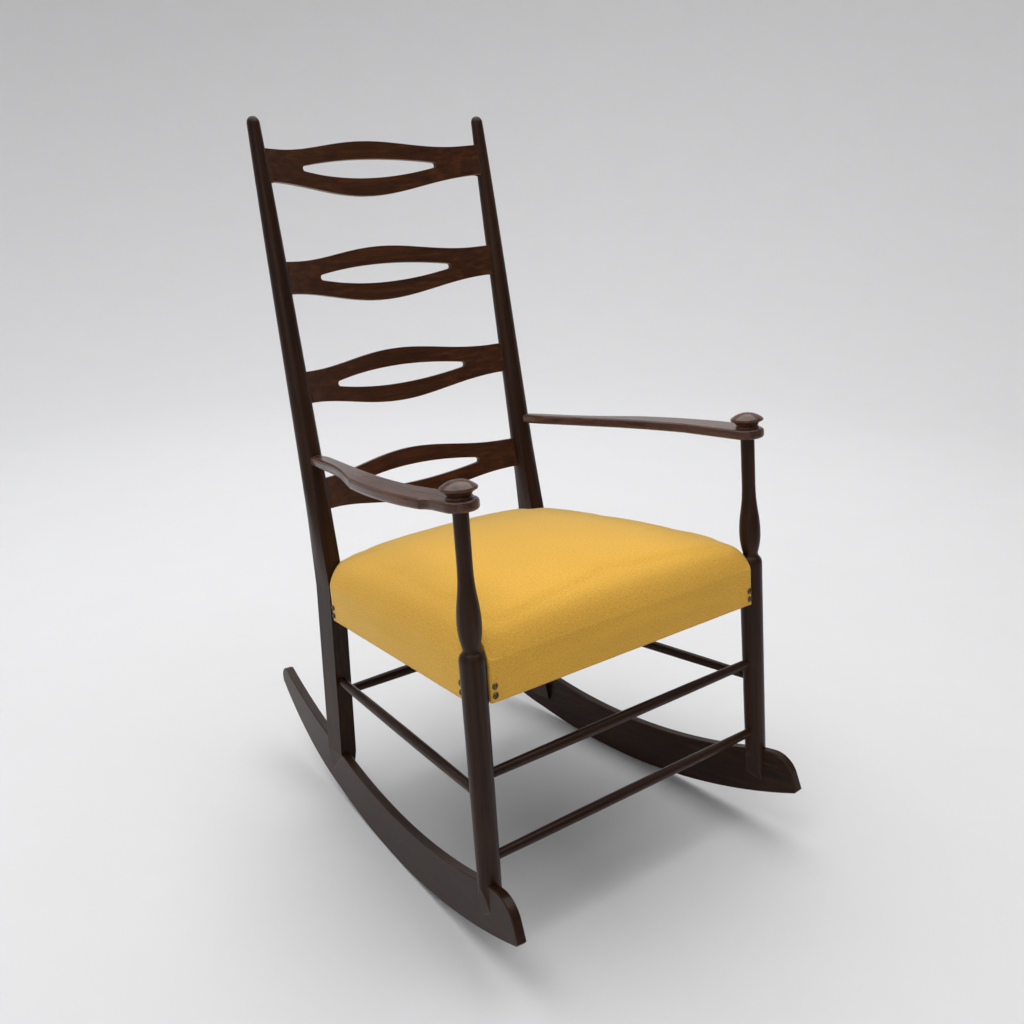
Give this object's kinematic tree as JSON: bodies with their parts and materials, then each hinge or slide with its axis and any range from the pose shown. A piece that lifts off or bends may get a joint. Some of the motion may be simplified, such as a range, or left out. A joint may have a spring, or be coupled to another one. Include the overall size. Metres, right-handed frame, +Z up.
{
  "type": "rocking chair",
  "caption": "High-backed ladder-back rocking chair with bowed pierced slats, open arms with turned knobs, a stuffed wool seat and solid curved rockers.",
  "frame": {"origin": "on the floor under the middle of the chair's overall box, in its mirror plane", "axes": "+Z up; +X to the right of someone looking at the chair's front; the chair faces -Y"},
  "size_m": [0.604, 0.7899, 1.0918],
  "materials": {
    "frame_wood": "satin",
    "rail_wood": "matte",
    "seat_wool": "matte",
    "seat_stuffing": "matte",
    "webbing": "matte",
    "hessian": "matte",
    "dust_cloth": "matte",
    "nail_brass": "satin",
    "tack_steel": "satin",
    "screw_steel": "satin"
  },
  "bodies": {
    "root": {"arm_knob_left": "frame_wood", "arm_knob_right": "frame_wood", "arm_left": "frame_wood", "arm_right": "frame_wood", "back_post_left": "frame_wood", "back_post_right": "frame_wood", "back_stretcher": "frame_wood", "bottom_slat": "frame_wood", "corner_block_back_left": "rail_wood", "corner_block_back_right": "rail_wood", "corner_block_front_left": "rail_wood", "corner_block_front_right": "rail_wood", "corner_block_screws": "screw_steel", "cover_nails": "nail_brass", "dust_cover": "dust_cloth", "dust_cover_tacks": "tack_steel", "front_post_left": "frame_wood", "front_post_right": "frame_wood", "front_stretcher_lower": "frame_wood", "front_stretcher_upper": "frame_wood", "hessian": "hessian", "lower_slat": "frame_wood", "rocker_left": "frame_wood", "rocker_pegs": "frame_wood", "rocker_right": "frame_wood", "seat_cover": "seat_wool", "seat_padding": "seat_stuffing", "seat_rail_back": "rail_wood", "seat_rail_front": "rail_wood", "seat_rail_left": "rail_wood", "seat_rail_right": "rail_wood", "side_stretcher_left": "frame_wood", "side_stretcher_right": "frame_wood", "top_slat": "frame_wood", "upper_slat": "frame_wood", "webbing_crosswise": "webbing", "webbing_lengthwise": "webbing"}
  },
  "joints": []
}
